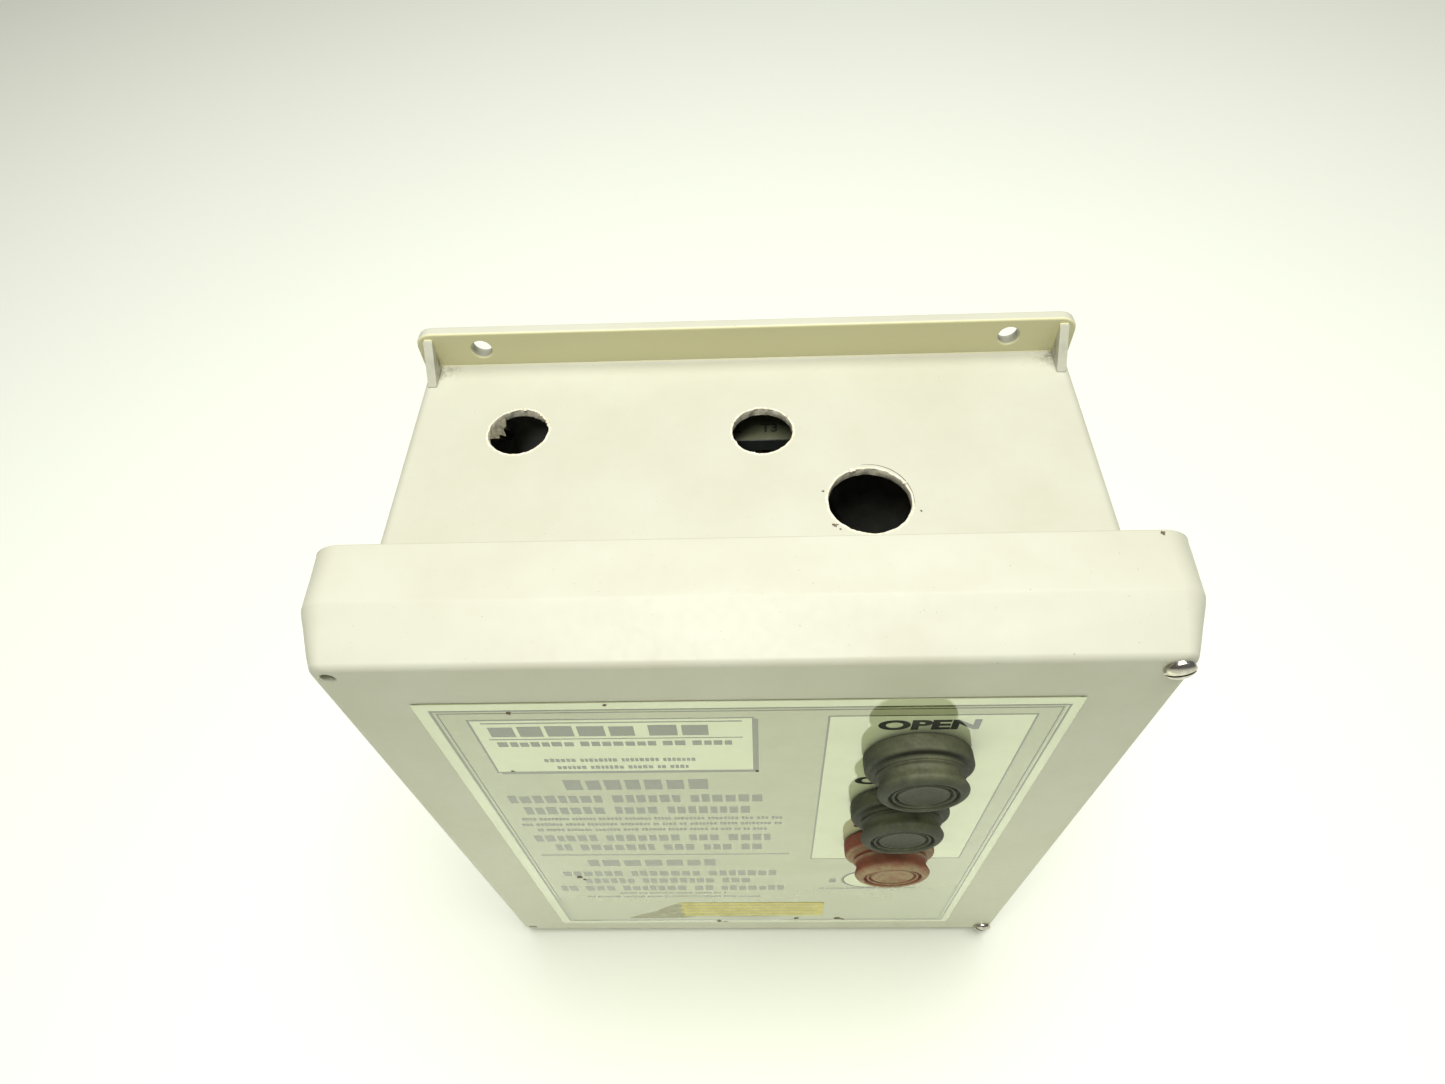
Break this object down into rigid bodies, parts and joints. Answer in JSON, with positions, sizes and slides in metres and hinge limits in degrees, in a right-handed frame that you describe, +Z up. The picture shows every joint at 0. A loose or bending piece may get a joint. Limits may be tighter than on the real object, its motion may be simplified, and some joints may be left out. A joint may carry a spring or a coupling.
{
  "type": "garage door opener control box",
  "caption": "Wall control box of a garage door opener: moulded box with mounting flanges, lift-off cover with booted push buttons, and switchgear inside.",
  "frame": {"origin": "middle of the base of the bounding box, on the surface that the box stands on", "axes": "+Z up, +Y towards the wall, the buttons face -Y, +X to the right seen from the front"},
  "size_m": [0.2782, 0.1606, 0.3253],
  "materials": {
    "almond_polyester": "moulded glass-filled polyester, satin",
    "printed_label": "printed polyester sheet, glossy",
    "black_rubber": "moulded rubber, matte, dusty",
    "red_rubber": "moulded rubber, matte, dusty",
    "zinc_plated_steel": "bright zinc plate",
    "spring_steel": "drawn spring wire",
    "plated_brass": "tarnished brass",
    "dark_bakelite": "moulded phenolic, satin",
    "grey_nylon": "moulded nylon, satin",
    "white_nylon": "moulded nylon, satin",
    "red_nylon": "moulded nylon, glossy",
    "coil_tape": "varnished tape over copper winding",
    "core_steel": "varnished laminations",
    "fuse_glass": "clear glass tube with plated caps",
    "black_wire": "PVC insulation",
    "red_wire": "PVC insulation"
  },
  "bodies": {
    "enclosure": {"box_shell": "almond_polyester", "mounting_plate": "zinc_plated_steel", "plate_screw_lower_left": "zinc_plated_steel", "plate_screw_upper_left": "zinc_plated_steel", "plate_screw_lower_right": "zinc_plated_steel", "plate_screw_upper_right": "zinc_plated_steel", "open_contactor_spring": "spring_steel", "close_contactor_spring": "spring_steel", "ground_lug": "plated_brass", "ground_screw": "plated_brass", "open_contactor_base": "dark_bakelite", "open_contactor_head": "dark_bakelite", "close_contactor_base": "dark_bakelite", "close_contactor_head": "dark_bakelite", "overload_relay": "dark_bakelite", "fuse_holder": "dark_bakelite", "terminal_strip": "dark_bakelite", "motor_terminal_strip": "dark_bakelite", "loom_socket": "white_nylon", "open_contactor_coil": "coil_tape", "close_contactor_coil": "coil_tape", "transformer_coil": "coil_tape", "transformer_core": "core_steel", "fuse": "fuse_glass", "line_wire_1": "black_wire", "line_wire_2": "black_wire", "line_wire_3": "black_wire", "control_wire_feed": "red_wire", "control_wire_load": "red_wire"},
    "open_button": {"open_plunger": "grey_nylon", "open_contact_bridge": "plated_brass"},
    "close_button": {"close_plunger": "grey_nylon", "close_contact_bridge": "plated_brass"},
    "stop_button": {"stop_plunger": "grey_nylon", "stop_contact_bridge": "plated_brass"},
    "open_contactor_armature": {"open_contactor_carrier": "white_nylon"},
    "close_contactor_armature": {"close_contactor_carrier": "white_nylon"},
    "overload_reset": {"overload_reset_button": "red_nylon"},
    "overload_setting": {"overload_dial": "white_nylon"},
    "cover": {"cover_shell": "almond_polyester", "cover_label": "printed_label", "cover_screw_upper": "zinc_plated_steel", "cover_screw_lower": "zinc_plated_steel", "loom_plug": "white_nylon", "button_loom": "black_wire", "open_bushing": "grey_nylon", "open_nut": "zinc_plated_steel", "open_boot": "black_rubber", "open_spring": "spring_steel", "open_contact_block": "dark_bakelite", "close_bushing": "grey_nylon", "close_nut": "zinc_plated_steel", "close_boot": "black_rubber", "close_spring": "spring_steel", "close_contact_block": "dark_bakelite", "stop_bushing": "grey_nylon", "stop_nut": "zinc_plated_steel", "stop_boot": "red_rubber", "stop_spring": "spring_steel", "stop_contact_block": "dark_bakelite"}
  },
  "joints": [
    {"name": "cover_lift", "type": "slide", "parent": "enclosure", "child": "cover", "axis": [0, -1, 0], "range_m": [0, 0.15]},
    {"name": "open_press", "type": "slide", "parent": "cover", "child": "open_button", "axis": [0, 1, 0], "range_m": [0, 0.004], "stiffness_N_per_m": 800, "springref_m": -0.004, "deforming": ["open_boot", "open_spring"]},
    {"name": "close_press", "type": "slide", "parent": "cover", "child": "close_button", "axis": [0, 1, 0], "range_m": [0, 0.004], "stiffness_N_per_m": 800, "springref_m": -0.004, "deforming": ["close_boot", "close_spring"]},
    {"name": "stop_press", "type": "slide", "parent": "cover", "child": "stop_button", "axis": [0, 1, 0], "range_m": [0, 0.004], "stiffness_N_per_m": 800, "springref_m": -0.004, "deforming": ["stop_boot", "stop_spring"]},
    {"name": "open_contactor_pull", "type": "slide", "parent": "enclosure", "child": "open_contactor_armature", "axis": [0, 1, 0], "range_m": [0, 0.004], "stiffness_N_per_m": 500, "springref_m": -0.004, "deforming": ["open_contactor_spring"]},
    {"name": "close_contactor_pull", "type": "slide", "parent": "enclosure", "child": "close_contactor_armature", "axis": [0, 1, 0], "range_m": [0, 0.004], "stiffness_N_per_m": 500, "springref_m": -0.004, "deforming": ["close_contactor_spring"]},
    {"name": "overload_reset_press", "type": "slide", "parent": "enclosure", "child": "overload_reset", "axis": [0, 1, 0], "range_m": [0, 0.003], "stiffness_N_per_m": 400, "springref_m": -0.002},
    {"name": "overload_setting_turn", "type": "hinge", "parent": "enclosure", "child": "overload_setting", "pos_m": [0.017, 0.00325, 0.156], "axis": [0, -1, 0], "range_deg": [-60, 60]}
  ]
}
